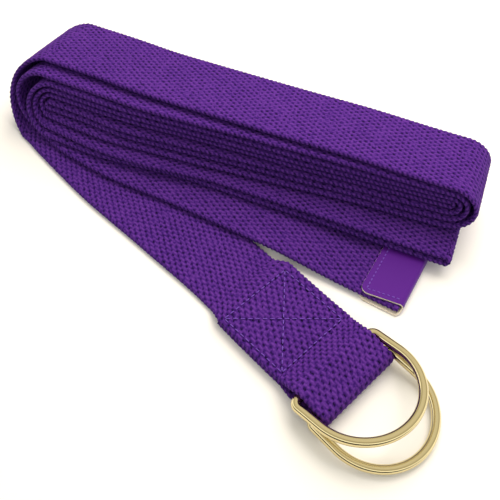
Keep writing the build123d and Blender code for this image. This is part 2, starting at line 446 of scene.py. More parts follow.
@dataclass(frozen=True)
class VinylBacking:
    """Knife-cut edge and backing of the vinyl, where the undyed base shows pale and matt."""

    colour: str = "F2E9DA"
    soiled: str = "CDBFA8"
    nap_mm: float = 0.5

    def material(self) -> bpy.types.Material:
        """Build the material."""
        material, tree, output = new_material("cut_vinyl_backing")
        place = add_node(tree, "TexCoord")
        nap = noise(tree, place, self.nap_mm, detail=3.0)
        tone = set_ramp(
            add_node(tree, "ValToRGB", {"Fac": nap}),
            [(0.3, hex_colour(self.soiled)), (0.7, hex_colour(self.colour))],
        )
        add_surface(tree, output, {"Base Color": tone.outputs["Color"], "Roughness": 0.75})
        return material


@dataclass(frozen=True)
class PaperSweep:
    """Matt white background paper under the strap."""

    colour: str = "F7F6F4"

    def material(self) -> bpy.types.Material:
        """Build the material."""
        material, tree, output = new_material("matt_background_paper")
        add_surface(
            tree,
            output,
            {"Base Color": hex_colour(self.colour), "Roughness": 0.9, "Specular IOR Level": 0.1},
        )
        return material


# ---------------------------------------------------------------------------------------------
# The folded layout
# ---------------------------------------------------------------------------------------------


class End(Enum):
    """Which end of the folded bundle a fold is at."""

    LEFT = -1
    RIGHT = 1


@dataclass(frozen=True)
class Leg:
    """One straight-ish run of the webbing: its layer in the stack and its near edge, left to right."""

    layer: int
    near: tuple[Point, ...]


@dataclass(frozen=True)
class Fold:
    """A half turn between two legs: how far it reaches out and how far its line leans, in degrees."""

    low: str
    high: str
    reach: float
    tilt: float = 0.0


LEGS: dict[str, Leg] = {
    "tip": Leg(1, ((-125, 24), (-108, 15.8), (-80, 9.8), (-42, 7.2), (10, 1.8), (70.6, -6.6))),
    "low_a": Leg(2, ((-119, 19.5), (-88, 17), (-45, 21.8), (83, 22.4))),
    "low_b": Leg(3, ((-119, 22.5), (-84, 17.9), (-60, 19), (-30, 22.8), (83, 23.6))),
    "low_c": Leg(4, ((-119, 26.5), (-86, 23.4), (-37, 27.8), (31, 35), (77, 38.6))),
    "low_d": Leg(5, ((-119, 29), (-98, 28.6), (-78, 26.6), (-58, 28.6), (77, 40.4))),
    "top_d": Leg(6, ((-119, 30), (-98, 29.4), (-78, 27), (-58, 29.2), (77, 41.6))),
    "top_c": Leg(7, ((-119, 32.2), (-76, 31.6), (-35, 34.8), (9, 36.8), (77, 43))),
    "top_b": Leg(8, ((-119, 32.6), (-76, 31.6), (-35, 34.8), (9, 36.8), (77, 43))),
    "top_a": Leg(9, ((-119, 33.4), (-76, 32.2), (-35, 35.4), (9, 37.4), (77, 42.6))),
    "top_tip": Leg(10, ((-125, 35.2), (-98, 34.6), (-72, 33.4), (-15, 37.2), (77, 42.2))),
    "top": Leg(11, ((-127, 43), (-98, 42.4), (-75, 40.6), (-20, 41), (30, 42.4), (77, 42.8))),
}

FOLDS: dict[End, tuple[Fold, ...]] = {
    End.LEFT: (
        Fold("sewn", "top", 13.2, 6.0),
        Fold("tip", "top_tip", 12.5, 4.0),
        Fold("low_a", "top_a", 10.1, 1.0),
        Fold("low_b", "top_b", 7.2, 0.5),
        Fold("low_c", "top_c", 4.35),
        Fold("low_d", "top_d", 1.45),
    ),
    End.RIGHT: (
        Fold("low_c", "top", 11.4),
        Fold("low_d", "top_tip", 7.6),
        Fold("top_d", "top_a", 4.4),
        Fold("top_c", "top_b", 1.45),
        Fold("low_a", "low_b", 1.45),
    ),
}

LEG_ORDER = ("top", "low_c", "top_c", "top_b", "low_b", "low_a", "top_a", "top_d", "low_d", "top_tip", "tip")


@dataclass(frozen=True)
class Layout:
    """Sizes of the folded webbing and the frames of its sewn end and its tip, in millimetres."""

    width: float = 38.0
    thick: float = 2.4
    near_pitch: float = 2.85
    far_pitch: float = 2.54
    sag_from: float = 22.0
    sag_to: float = 72.0
    sag: float = 0.80
    tip_drop_from: float = 3.0
    tip_drop_to: float = 49.0
    tip_level: float = 2.15
    centre: Point = (-22.43, 1.49)
    sewn_start: Point = (-131.0, 19.0)
    sewn_end: Point = (59.4, -65.8)

    def metres(self, points: Array) -> Array:
        """Layout points in millimetres as points of the part's frame in metres."""
        return (np.asarray(points, float) - np.array([*self.centre, 0.0])) * MM

    def height(self, name: str, x: Array, pitch: float) -> Array:
        """Height of a leg's middle surface.

        Args:
            name: The leg.
            x: Where along the layout.
            pitch: Distance between layers on the edge in question.

        Returns:
            Heights in millimetres.
        """
        level = self.thick / 2 + LEGS[name].layer * pitch
        if name == "tip":
            share = smooth((x - self.tip_drop_from) / (self.tip_drop_to - self.tip_drop_from))
            return level + (self.tip_level - level) * share
        return level - self.sag * smooth((x - self.sag_from) / (self.sag_to - self.sag_from))

    def sewn_axes(self) -> tuple[Array, Array, Array]:
        """Middle of the ring loop's closed end, and the outward and far directions, in plan."""
        start, end = np.array(self.sewn_start), np.array(self.sewn_end)
        ahead = unit(end - start)
        side = np.array([-ahead[1], ahead[0]])
        return end + side * self.width / 2, ahead, side

    def sewn_point(self, back: Array | float, lateral: Array | float, z: Array | float) -> Array:
        """Points of the sewn leg.

        Args:
            back: Distance back from the closed end.
            lateral: Offset towards the far edge.
            z: Height.

        Returns:
            Layout points, one row each.
        """
        middle, ahead, side = self.sewn_axes()
        back, lateral, z = np.broadcast_arrays(back, lateral, z)
        plan = middle - back[..., None] * ahead + lateral[..., None] * side
        return np.concatenate([plan, z[..., None]], axis=-1).astype(float)

    def tip_axes(self) -> tuple[Array, Array, Array]:
        """Middle of the webbing's tip end, and the outward and far directions, in plan."""
        before, last = (np.array(p, float) for p in LEGS["tip"].near[-2:])
        ahead = unit(last - before)
        side = np.array([-ahead[1], ahead[0]])
        return last + side * self.width / 2, ahead, side

    def tip_point(self, along: Array | float, lateral: Array | float, z: Array | float) -> Array:
        """Layout points given outward of the tip end, towards its far edge, and up."""
        middle, ahead, side = self.tip_axes()
        along, lateral, z = np.broadcast_arrays(along, lateral, z)
        plan = middle + along[..., None] * ahead + lateral[..., None] * side
        return np.concatenate([plan, z[..., None]], axis=-1).astype(float)


LAYOUT = Layout()


@dataclass
class StrapPath:
    """The webbing's run as pairs of edge points, from the cut end in the ring loop to the tip."""

    layout: Layout = LAYOUT
    leg_step: float = 1.5
    ease: float = 6.0
    lean_run: float = 40.0
    fold_steps: int = 32
    flap_end: float = 62.5
    turn_x: float = 4.7
    turn_rise: float = 6.55
    turn_steps: int = 25
    profile_step: float = 0.25
    rounding_window: int = 15
    loop_top: tuple[Point, ...] = (
        (9.0, 8.3),
        (12.2, 9.35),
        (15.2, 9.65),
        (17.6, 9.0),
        (24.6, 4.4),
        (26.5, 3.7),
        (63.2, 3.7),
        (69.9, 1.2),
    )
    near_spread: float = 2.0
    far_spread_at_ring: float = 0.4
    far_spread_at_flap: float = 3.0
    far_spread_over: Point = (17.6, 26.5)
    ring_spread: float = 1.0
    spread_run: float = 9.0
    sway: tuple[Point, ...] = (
        (40.0, 0.0),
        (62.0, 0.7),
        (76.0, 1.6),
        (115.0, 0.3),
        (150.0, -1.6),
        (190.0, -1.0),
        (206.0, 0.0),
    )
    sway_blur: float = 12.0
    sway_samples: int = 9
    sway_sets_in: Point = (30.0, 14.0)
    sway_dies_out: Point = (194.0, 12.0)
    near: Array = field(init=False)
    far: Array = field(init=False)

    def __post_init__(self) -> None:
        """Walk along the strap once."""
        runs = [self.sewn_run()]
        end = End.LEFT
        for name in LEG_ORDER:
            leg = self.leg_run(name)
            if end is End.RIGHT:
                leg = leg[::-1]
            runs.append(self.fold_run(runs[-1][-1], leg[0], self.fold_of(name, end), end))
            runs.append(leg)
            end = End.RIGHT if end is End.LEFT else End.LEFT
        whole = np.concatenate(runs)
        self.near, self.far = whole[:, 0], whole[:, 1]

    @staticmethod
    def fold_of(name: str, end: End) -> Fold | None:
        """The fold that a leg has at one end, if it has one there."""
        return next((f for f in FOLDS[end] if name in (f.low, f.high)), None)

    def axis_at_end(self, name: str, end: End, normal: Array) -> Array:
        """Direction of the line across the webbing at a leg's end."""
        fold = self.fold_of(name, end)
        if fold is None:
            return normal
        lean = math.radians(fold.tilt)
        return np.array([math.sin(lean), math.cos(lean)])

    def eased_line(self, points: Sequence[Point]) -> Array:
        """A leg's near edge with its corners rounded off.

        Args:
            points: The corners, left to right.

        Returns:
            Closely spaced plan points.
        """
        corners = np.array(points, float)
        count = int((corners[-1, 0] - corners[0, 0]) / self.leg_step) + 1
        x = np.linspace(corners[0, 0], corners[-1, 0], count)
        y = np.interp(x, corners[:, 0], corners[:, 1])
        reach = int(3 * self.ease / self.leg_step)
        weights = np.exp(-0.5 * (np.arange(-reach, reach + 1) * self.leg_step / self.ease) ** 2)
        before = 2 * y[0] - y[reach:0:-1]
        after = 2 * y[-1] - y[-2 : -reach - 2 : -1]
        padded = np.concatenate([before, y, after])
        return np.stack([x, np.convolve(padded, weights / weights.sum(), mode="valid")], axis=1)

    def leg_run(self, name: str) -> Array:
        """Edge pairs of one leg, left to right."""
        line = self.eased_line(LEGS[name].near)
        direction = unit(np.gradient(line, axis=0))
        normal = np.stack([-direction[:, 1], direction[:, 0]], axis=1)
        run = np.concatenate([[0.0], np.cumsum(np.linalg.norm(np.diff(line, axis=0), axis=1))])
        axis = normal
        for end, distance, at in ((End.LEFT, run, 0), (End.RIGHT, run[-1] - run, -1)):
            share = 1 - smooth(distance / self.lean_run)[:, None]
            axis = unit(axis * (1 - share) + self.axis_at_end(name, end, normal[at]) * share)
        reach = self.layout.width / (axis * normal).sum(axis=1, keepdims=True)
        far = line + axis * reach
        near_z = self.layout.height(name, line[:, 0], self.layout.near_pitch)
        far_z = self.layout.height(name, far[:, 0], self.layout.far_pitch)
        return np.stack([np.column_stack([line, near_z]), np.column_stack([far, far_z])], axis=1)

    def fold_run(self, start: Array, finish: Array, fold: Fold, end: End) -> Array:
        """Edge pairs strictly inside a half turn.

        Args:
            start: The pair where the turn begins.
            finish: The pair where it ends.
            fold: The fold.
            end: Which end of the bundle it is at.

        Returns:
            The pairs, in running order.
        """
        rising = finish[0, 2] > start[0, 2]
        low, high = (start, finish) if rising else (finish, start)
        lean = math.radians(fold.tilt)
        outward = np.array([end.value * math.cos(lean), -end.value * math.sin(lean), 0.0])
        t = (np.arange(1, self.fold_steps) / self.fold_steps)[:, None, None]
        angle = math.pi * (t - 0.5)
        plan = low + (high - low) * t + outward * fold.reach * np.cos(angle)
        plan[..., 2] = ((low + high) / 2 + (high - low) / 2 * np.sin(angle))[..., 2]
        return plan if rising else plan[::-1]

    def sewn_profile(self) -> Array:
        """Middle line of the sewn end as (distance back, height), rounded off and closely spaced."""
        low = self.layout.thick / 2
        radius = self.turn_rise / 2
        angles = np.linspace(-math.pi / 2, math.pi / 2, self.turn_steps)
        turn = np.column_stack(
            [self.turn_x - radius * np.cos(angles), low + radius + radius * np.sin(angles)]
        )
        corners = np.concatenate([[(self.flap_end, low), (self.turn_x + 1, low)], turn, self.loop_top])
        gaps = np.linalg.norm(np.diff(corners, axis=0), axis=1)
        run = np.concatenate([[0.0], np.cumsum(gaps)])
        even = np.arange(0.0, run[-1], self.profile_step)
        line = np.column_stack([np.interp(even, run, corners[:, k]) for k in range(2)])
        weights = np.hanning(self.rounding_window)
        rounded = line.copy()
        for k in range(2):
            padded = np.pad(line[:, k], self.rounding_window // 2, mode="reflect", reflect_type="odd")
            rounded[:, k] = np.convolve(padded, weights / weights.sum(), mode="valid")
        return rounded

    def sewn_run(self) -> Array:
        """Edge pairs of the sewn leg, from the cut end to the left fold."""
        half = self.layout.width / 2
        profile = self.sewn_profile()
        back = profile[:, 0]
        doubled = 1 - smooth((back - self.loop_top[-1][0] + self.spread_run) / self.spread_run)
        far_spread = np.interp(back, self.far_spread_over, (self.far_spread_at_ring, self.far_spread_at_flap))
        narrow, wide = self.far_spread_over
        at_ring = 1 - smooth((back - narrow) / (wide - narrow))
        near = -half - self.near_spread * doubled - self.ring_spread * at_ring
        far = half + far_spread * doubled
        pairs = np.stack([self.layout.sewn_point(back, edge, profile[:, 1]) for edge in (near, far)], axis=1)
        side = self.layout.sewn_axes()[2]
        start = np.array(self.layout.sewn_start)
        axis = self.axis_at_end("sewn", End.LEFT, side)
        low = self.layout.thick / 2
        near = np.array([*start, low])
        far = np.array([*(start + axis * self.layout.width / (axis @ side)), low])
        last = pairs[-1]
        count = int(np.linalg.norm(near - last[0]) / self.leg_step)
        t = (np.arange(1, count + 1) / count)[:, None, None]
        straight = last + (np.stack([near, far]) - last) * t
        run = np.concatenate([pairs, straight])
        middle, ahead, _ = self.layout.sewn_axes()
        distance = (middle - run[:, 0, :2]) @ ahead
        bends = np.array(self.sway)
        blur = np.linspace(-self.sway_blur, self.sway_blur, self.sway_samples)
        offset = np.mean([np.interp(distance + shift, bends[:, 0], bends[:, 1]) for shift in blur], axis=0)
        (begin, rise), (leave, fall) = self.sway_sets_in, self.sway_dies_out
        ends = smooth((distance - begin) / rise) * (1 - smooth((distance - leave) / fall))
        run[..., :2] += side * (offset * ends)[:, None, None]
        return run


# ---------------------------------------------------------------------------------------------
# Webbing
# ---------------------------------------------------------------------------------------------


@dataclass
class Webbing:
    """The woven strap as one ribbon whose yarns stand out of its faces."""

    path: StrapPath = field(default_factory=StrapPath)
    columns: int = 27
    repeat: float = 4.55
    selvedge: float = 0.80
    core: float = 0.98
    crown: float = 0.20
    crown_mean: float = 0.62
    crown_swing: float = 0.38
    pit: float = 0.40
    pit_onset: float = 0.42
    pit_run: float = 0.62
    seam: float = 0.09
    seam_level: float = 0.45
    seam_swing: float = 0.5
    bead: float = 0.62
    bead_mean: float = 0.45
    bead_radius: float = 0.92
    bead_angle: float = 52.0
    bead_rise: Point = (0.86, 0.26)
    bead_twist: float = 0.9
    bead_shift: float = 1.1
    steps_per_repeat: float = 7.0
    turn_per_step: float = 12.0
    groove: float = 0.16
    groove_width: float = 0.9
    groove_after_flap: float = 6.0
    groove_until: float = 2.3
    rim: float = 1.0
    rim_share: float = 0.92
    pick_jitter: float = 0.10
    tension_jitter: float = 0.2
    lift_jitter: float = 0.035
    slow: Line = ((0.05, 17.0), (0.04, 7.3))
    slow_across: float = 9.0
    wander: Line = ((0.10, 23.0), (0.06, 9.1))
    # These set how the yarns' height turns into painted light and shade, and how much painted shade falls in
    # the stitch grooves
    shade_floor: float = 0.30
    shade_range: float = 0.50
    groove_shade: float = 0.6
    seed: int = 7

    def stations(self) -> tuple[Array, Array, Array]:
        """Edge pairs set as far apart as the weave and the bends need.

        Returns:
            Near edge, far edge, and distance along the middle line.
        """
        near, far = self.path.near, self.path.far
        middle = (near + far) / 2
        gaps = np.linalg.norm(np.diff(middle, axis=0), axis=1)
        run = np.concatenate([[0.0], np.cumsum(gaps)])
        ways = unit(np.diff(middle, axis=0))
        bend = np.zeros(len(middle))
        bend[1:-1] = np.degrees(np.arccos(np.clip((ways[1:] * ways[:-1]).sum(axis=1), -1, 1)))
        cost = run * self.steps_per_repeat / self.repeat + np.cumsum(bend) / self.turn_per_step
        wanted = np.arange(0.0, cost[-1], 1.0)
        pick = [np.interp(wanted, cost, values) for values in (*near.T, *far.T, run)]
        return np.stack(pick[:3], axis=1), np.stack(pick[3:6], axis=1), pick[6]

    def relief(self, run: Array, steps: Array, tension: Array) -> Array:
        """Height of the yarns over the webbing's core.

        Args:
            run: Distance along the strap, per vertex.
            steps: Place across the strap in half columns; odd ones are the crowns of the warp yarns.
            tension: How tight each yarn lies, around one.

        Returns:
            Heights in millimetres.
        """
        column = np.floor(steps / 2)
        wave = np.sin(2 * math.pi * (run / self.repeat + column / 2))
        sunk = smooth((-wave * tension - self.pit_onset) / self.pit_run)
        over = self.crown * (self.crown_mean + self.crown_swing * wave) - self.pit * sunk
        between = self.crown * self.seam_level - self.seam * (1.0 + self.seam_swing * np.abs(wave))
        return np.where(steps.astype(int) % 2 == 1, over, between)

    def press(self, near: Array, across: Array, places: Array, run: Array) -> Array:
        """How deep the box stitching pulls the upper layer of the ring loop in.

        Args:
            near: Near-edge points.
            across: Vectors from the near edge to the far one.
            places: Distance from the near edge of each vertex in a row.
            run: Distance along the strap.

        Returns:
            Depths in millimetres, one row per station.
        """
        depth = np.zeros((len(near), len(places)))
        flap = self.path.flap_end
        here = (run > flap + self.groove_after_flap) & (run < self.groove_until * flap)
        middle, ahead, side = self.path.layout.sewn_axes()
        share = (places / self.path.layout.width)[None, :, None]
        plan = near[here, None, :2] + across[here, None, :2] * share - middle
        place = np.stack([-(plan @ ahead), plan @ side], axis=-1)
        nearest = np.full(place.shape[:2], np.inf)
        for first, last in LoopStitching().lines():
            start = np.array(first)
            way = np.array(last) - start
            t = np.clip(((place - start) @ way) / (way @ way), 0, 1)
            nearest = np.minimum(nearest, np.linalg.norm(place - start - t[..., None] * way, axis=-1))
        depth[here] = self.groove * np.exp(-((nearest / self.groove_width) ** 2))
        return depth

    def selvedge_bead(self, edge: Array, outward: Array, normal: Array, run: Array) -> tuple[Array, Array]:
        """Rounded edge where the weft turns back, one bump per pick.

        Args:
            edge: Edge points.
            outward: Directions out of the webbing's edge.
            normal: Directions out of its upper face.
            run: Distance along the strap.

        Returns:
            Three vertices per station from the upper face to the lower, and their share of painted light,
            lighter where the bead bulges.
        """
        rows, shares = [], []
        for angle in (self.bead_angle, 0.0, -self.bead_angle):
            lean = math.radians(angle)
            pick = np.abs(np.sin(2 * math.pi * run / self.repeat + lean * self.bead_twist))
            out = self.bead * (pick - self.bead_mean) + self.bead_radius * (math.cos(lean) - 1)
            rise = self.bead_radius * math.sin(lean) * (self.bead_rise[0] + self.bead_rise[1] * pick)
            rows.append(edge + outward * out[:, None] + normal * rise[:, None])
            # Each bump of the bead is painted lighter, a painted highlight
            shares.append(pick)
        return np.stack(rows, axis=1), np.stack(shares, axis=1)

    def build(self, material: bpy.types.Material) -> bpy.types.Object:
        """Make the ribbon.

        Args:
            material: The webbing's finish.

        Returns:
            The mesh object.
        """
        near, far, run = self.stations()
        count = len(near)
        along = unit(np.gradient((near + far) / 2, run, axis=0))
        across = far - near
        lateral = unit(across)
        normal = unit(np.cross(across, along))
        width = self.path.layout.width
        skew = (across * along).sum(axis=1)
        borders = 2 * self.columns + 1
        places = self.selvedge + (width - 2 * self.selvedge) * np.arange(borders) / (borders - 1)
        rng = np.random.default_rng(self.seed)
        phases = rng.uniform(0, 2 * math.pi, 4)
        pressed = self.press(near, across, places, run)

        def woven(face: float) -> tuple[Array, Array]:
            """One face's vertices and the share of painted light and shade at each."""
            u = run[:, None] + (places / width - 0.5)[None, :] * skew[:, None]
            u = u + (0.5 * self.repeat if face < 0 else 0.0)
            u = u + rng.normal(0, self.pick_jitter, u.shape)
            tension = 1 + rng.normal(0, self.tension_jitter, u.shape)
            lift = self.relief(u, np.broadcast_to(np.arange(borders, dtype=float), u.shape), tension)
            lift = lift + rng.normal(0, self.lift_jitter, u.shape)
            inset = np.minimum(places, width - places)
            rounding = np.where(inset < self.rim, self.rim_share, 1.0)
            (long_depth, long_run), (short_depth, short_run) = self.slow
            long_wave = long_depth * np.sin(u / long_run + phases[0])
            short_wave = short_depth * np.sin(u / short_run + places / self.slow_across + phases[1])
            slow = long_wave + short_wave
            height = self.core * rounding + lift + slow - (pressed if face > 0 else 0.0)
            place = near[:, None] + across[:, None] * (places / width)[None, :, None]
            # Painted light and shade: raised yarns lighter, sunken ones darker, with painted shade where the
            # box stitching presses in
            share = np.clip((lift + self.shade_floor) / self.shade_range, 0, 1) - pressed * self.groove_shade
            return place + normal[:, None] * (face * height)[..., None], share

        upper, upper_share = woven(1.0)
        lower, lower_share = woven(-1.0)
        (wide, wide_run), (narrow, narrow_run) = self.wander
        stray = wide * np.sin(run / wide_run + phases[2]) + narrow * np.sin(run / narrow_run + phases[3])
        wander = stray[:, None]
        far_bead, far_share = self.selvedge_bead(far - lateral * wander, lateral, normal, run)
        near_bead, near_share = self.selvedge_bead(
            near - lateral * wander, -lateral, normal, run + self.bead_shift
        )
        rings = np.concatenate([upper, far_bead, lower[:, ::-1], near_bead[:, ::-1]], axis=1)
        share = np.concatenate([upper_share, far_share, lower_share[:, ::-1], near_share], axis=1)
        around = rings.shape[1]

        caps = []
        for base, flip in ((0, False), ((count - 1) * around, True)):
            face = [base + j for j in range(around)]
            caps += self.cap_quads(face, borders, flip)
        faces = np.concatenate([tube_faces(count, around, closed=False), np.array(caps)])
        points = self.path.layout.metres(rings.reshape(-1, 3))
        thing = mesh_object("strap_webbing", points, faces, [material])
        # The relief attribute holds the painted light and shade that the webbing's material reads
        attribute = thing.data.attributes.new("relief", "FLOAT", "POINT")
        attribute.data.foreach_set("value", share.astype(np.float32).ravel())
        return thing

    @staticmethod
    def cap_quads(ring: Sequence[int], borders: int, flip: bool) -> list[list[int]]:
        """Quads that close one end of the ribbon, all but a sliver at the middle of each edge bead.

        Args:
            ring: Vertex numbers of the end's ring.
            borders: Vertices on each face of the ribbon.
            flip: Whether the quads turn the other way.

        Returns:
            Four vertex numbers per quad.
        """
        size = len(ring)
        # Upper row with its two outermost bead vertices, then the lower row under it
        upper = [ring[size - 1], *ring[:borders], ring[borders]]
        lower = [ring[size - 3], *ring[borders + 3 : 2 * borders + 3][::-1], ring[borders + 2]]
        quads = []
        for j in range(len(upper) - 1):
            quad = [upper[j], upper[j + 1], lower[j + 1], lower[j]]
            quads.append(quad[::-1] if flip else quad)
        return quads


# ---------------------------------------------------------------------------------------------
# Thread
# ---------------------------------------------------------------------------------------------


@dataclass
class StitchRow:
    """A row of lock stitches along a line of points."""

    line: Array
    up: Array
    length: float
    gap: float
    radius: float
    rise: float
    sink: float = 0.16
    end_share: float = 0.02
    around: int = 8
    rings: int = 7

    def capsules(self) -> tuple[Array, Array]:
        """Vertices and quads of every stitch in the row.

        Returns:
            Layout points and faces.
        """
        gaps = np.linalg.norm(np.diff(self.line, axis=0), axis=1)
        run = np.concatenate([[0.0], np.cumsum(gaps)])
        total = run[-1]
        number = max(1, round(total / (self.length + self.gap)))
        pitch = total / number
        points, faces = [], []
        for n in range(number):
            middle = (n + 0.5) * pitch
            reach = (pitch - self.gap) / 2
            t = np.linspace(-1, 1, self.rings)
            where = np.clip(middle + t * reach, 0, total)
            spine = np.stack([np.interp(where, run, self.line[:, k]) for k in range(3)], axis=1)
            spine += self.up * (self.rise * (1 - t**2) - self.sink)[:, None]
            along = unit(np.gradient(spine, axis=0))
            side = unit(np.cross(along, self.up))
            top = np.cross(side, along)
            size = self.radius * np.sqrt(np.clip(1 + self.end_share - t**4, self.end_share, 1))
            turn = np.linspace(0, 2 * math.pi, self.around, endpoint=False)
            ring = (
                spine[:, None]
                + side[:, None] * (np.cos(turn)[None, :] * size[:, None])[..., None]
                + top[:, None] * (np.sin(turn)[None, :] * size[:, None])[..., None]
            )
            first = len(points) * self.rings * self.around
            body = tube_faces(self.rings, self.around, closed=False) + first
            points.append(ring.reshape(-1, 3))
            faces.append(body)
        return np.concatenate(points), np.concatenate(faces)


def thread_object(name: str, rows: Sequence[StitchRow], material: bpy.types.Material) -> bpy.types.Object:
    """Join rows of stitches into one piece with closed ends.

    Args:
        name: The piece's name.
        rows: The rows.
        material: The thread's finish.

    Returns:
        The mesh object.
    """
    points, faces = [], []
    base = 0
    for row in rows:
        p, f = row.capsules()
        points.append(p)
        quads = (f + base).tolist()
        stitches = len(p) // (row.rings * row.around)
        for n in range(stitches):
            start = base + n * row.rings * row.around
            last = start + (row.rings - 1) * row.around
            quads.append([start + k for k in range(row.around)][::-1])
            quads.append([last + k for k in range(row.around)])
        faces += quads
        base += len(p)
    return mesh_object(name, LAYOUT.metres(np.concatenate(points)), faces, [material])


def stitched_lines(
    name: str,
    lines: Sequence[Line],
    place: Callable[[Array, Array, Array], Array],
    level: float,
    sizes: dict[str, float],
    material: bpy.types.Material,
) -> bpy.types.Object:
    """Stitch straight lines at one height into one piece.

    Args:
        name: The piece's name.
        lines: Both ends of each line.
        place: Turns the lines' own two measures and a height into layout points.
        level: The height.
        sizes: The stitches' length, gap, radius and rise.
        material: The thread's finish.

    Returns:
        The mesh object.
    """
    t = np.linspace(0, 1, 12)
    rows = []
    for first, last in lines:
        along, lateral = (first[k] + (last[k] - first[k]) * t for k in range(2))
        rows.append(StitchRow(place(along, lateral, np.full(len(t), level)), UP, **sizes))
    return thread_object(name, rows, material)


@dataclass
class LoopStitching:
    """Boxed cross of stitches that closes the ring loop."""

    start: float = 27.0
    end: float = 61.0
    inset: float = 0.6
    level: float = 4.94
    thread: float = 0.8

    def lines(self) -> list[Line]:
        """The four sides and two diagonals, as (distance back, lateral) pairs."""
        side = LAYOUT.width / 2 - self.inset - self.thread / 2
        a, b = self.start + self.thread / 2, self.end - self.thread / 2
        corners = [(a, -side), (b, -side), (b, side), (a, side)]
        box = [(corners[k], corners[(k + 1) % 4]) for k in range(4)]
        return box + [(corners[0], corners[2]), (corners[1], corners[3])]

    def build(self, material: bpy.types.Material) -> bpy.types.Object:
        """Make the stitches.

        Args:
            material: The thread's finish.

        Returns:
            The mesh object.
        """
        sizes = {"length": 2.0, "gap": 1.0, "radius": 0.25, "rise": 0.13}
        return stitched_lines(
            "loop_box_stitching", self.lines(), LAYOUT.sewn_point, self.level, sizes, material
        )


# ---------------------------------------------------------------------------------------------
# D-rings
# ---------------------------------------------------------------------------------------------


@dataclass
class DRing:
    """Round wire bent to a D: straight bar, two tight corners, short sides and a half-round bow."""

    name: str
    node: str
    body: str
    bar_back: float
    bar_z: float
    lateral: float
    tilt: float
    wire: float = 3.8
    half: float = 23.5
    straight: float = 13.6
    corner: float = 2.8
    around: int = 28

    def centre_line(self) -> Array:
        """Closed centre line in the ring's own plane, from the bar's near end round the bow."""
        quarter = np.linspace(0, math.pi / 2, 12)
        c, h, s = self.corner, self.half, self.straight
        far_corner = np.column_stack([c - c * np.cos(quarter), h - c + c * np.sin(quarter)])
        half_turn = np.linspace(math.pi / 2, -math.pi / 2, 72)
        bow = np.column_stack([s + h * np.cos(half_turn), h * np.sin(half_turn)])
        near_corner = far_corner[::-1] * np.array([1, -1])
        bar = np.column_stack([np.zeros(24), np.linspace(-h + c, h - c, 26)[1:-1]])
        return np.concatenate([bar, far_corner, bow, near_corner])

    def build(self, material: bpy.types.Material) -> bpy.types.Object:
        """Sweep the wire.

        Args:
            material: The plate's finish.

        Returns:
            The mesh object.
        """
        line = self.centre_line()
        direction = unit(np.roll(line, -1, axis=0) - np.roll(line, 1, axis=0))
        inward = np.column_stack([-direction[:, 1], direction[:, 0]])
        turn = np.linspace(0, 2 * math.pi, self.around, endpoint=False)
        radius = self.wire / 2
        flat = line[:, None] + inward[:, None] * (radius * np.cos(turn))[None, :, None]
        height = np.broadcast_to(radius * np.sin(turn), flat.shape[:2])
        _, ahead, side = LAYOUT.sewn_axes()
        lift = math.radians(self.tilt)
        x_axis = np.array([*(ahead * math.cos(lift)), math.sin(lift)])
        y_axis = np.array([*side, 0.0])
        z_axis = np.cross(x_axis, y_axis)
        origin = LAYOUT.sewn_point(self.bar_back, self.lateral, self.bar_z)
        points = origin + flat[..., :1] * x_axis + flat[..., 1:] * y_axis + height[..., None] * z_axis
        faces = tube_faces(len(line), self.around, closed=True)
        return mesh_object(self.name, LAYOUT.metres(points.reshape(-1, 3)), faces, [material])


# ---------------------------------------------------------------------------------------------
# Vinyl tip
# ---------------------------------------------------------------------------------------------


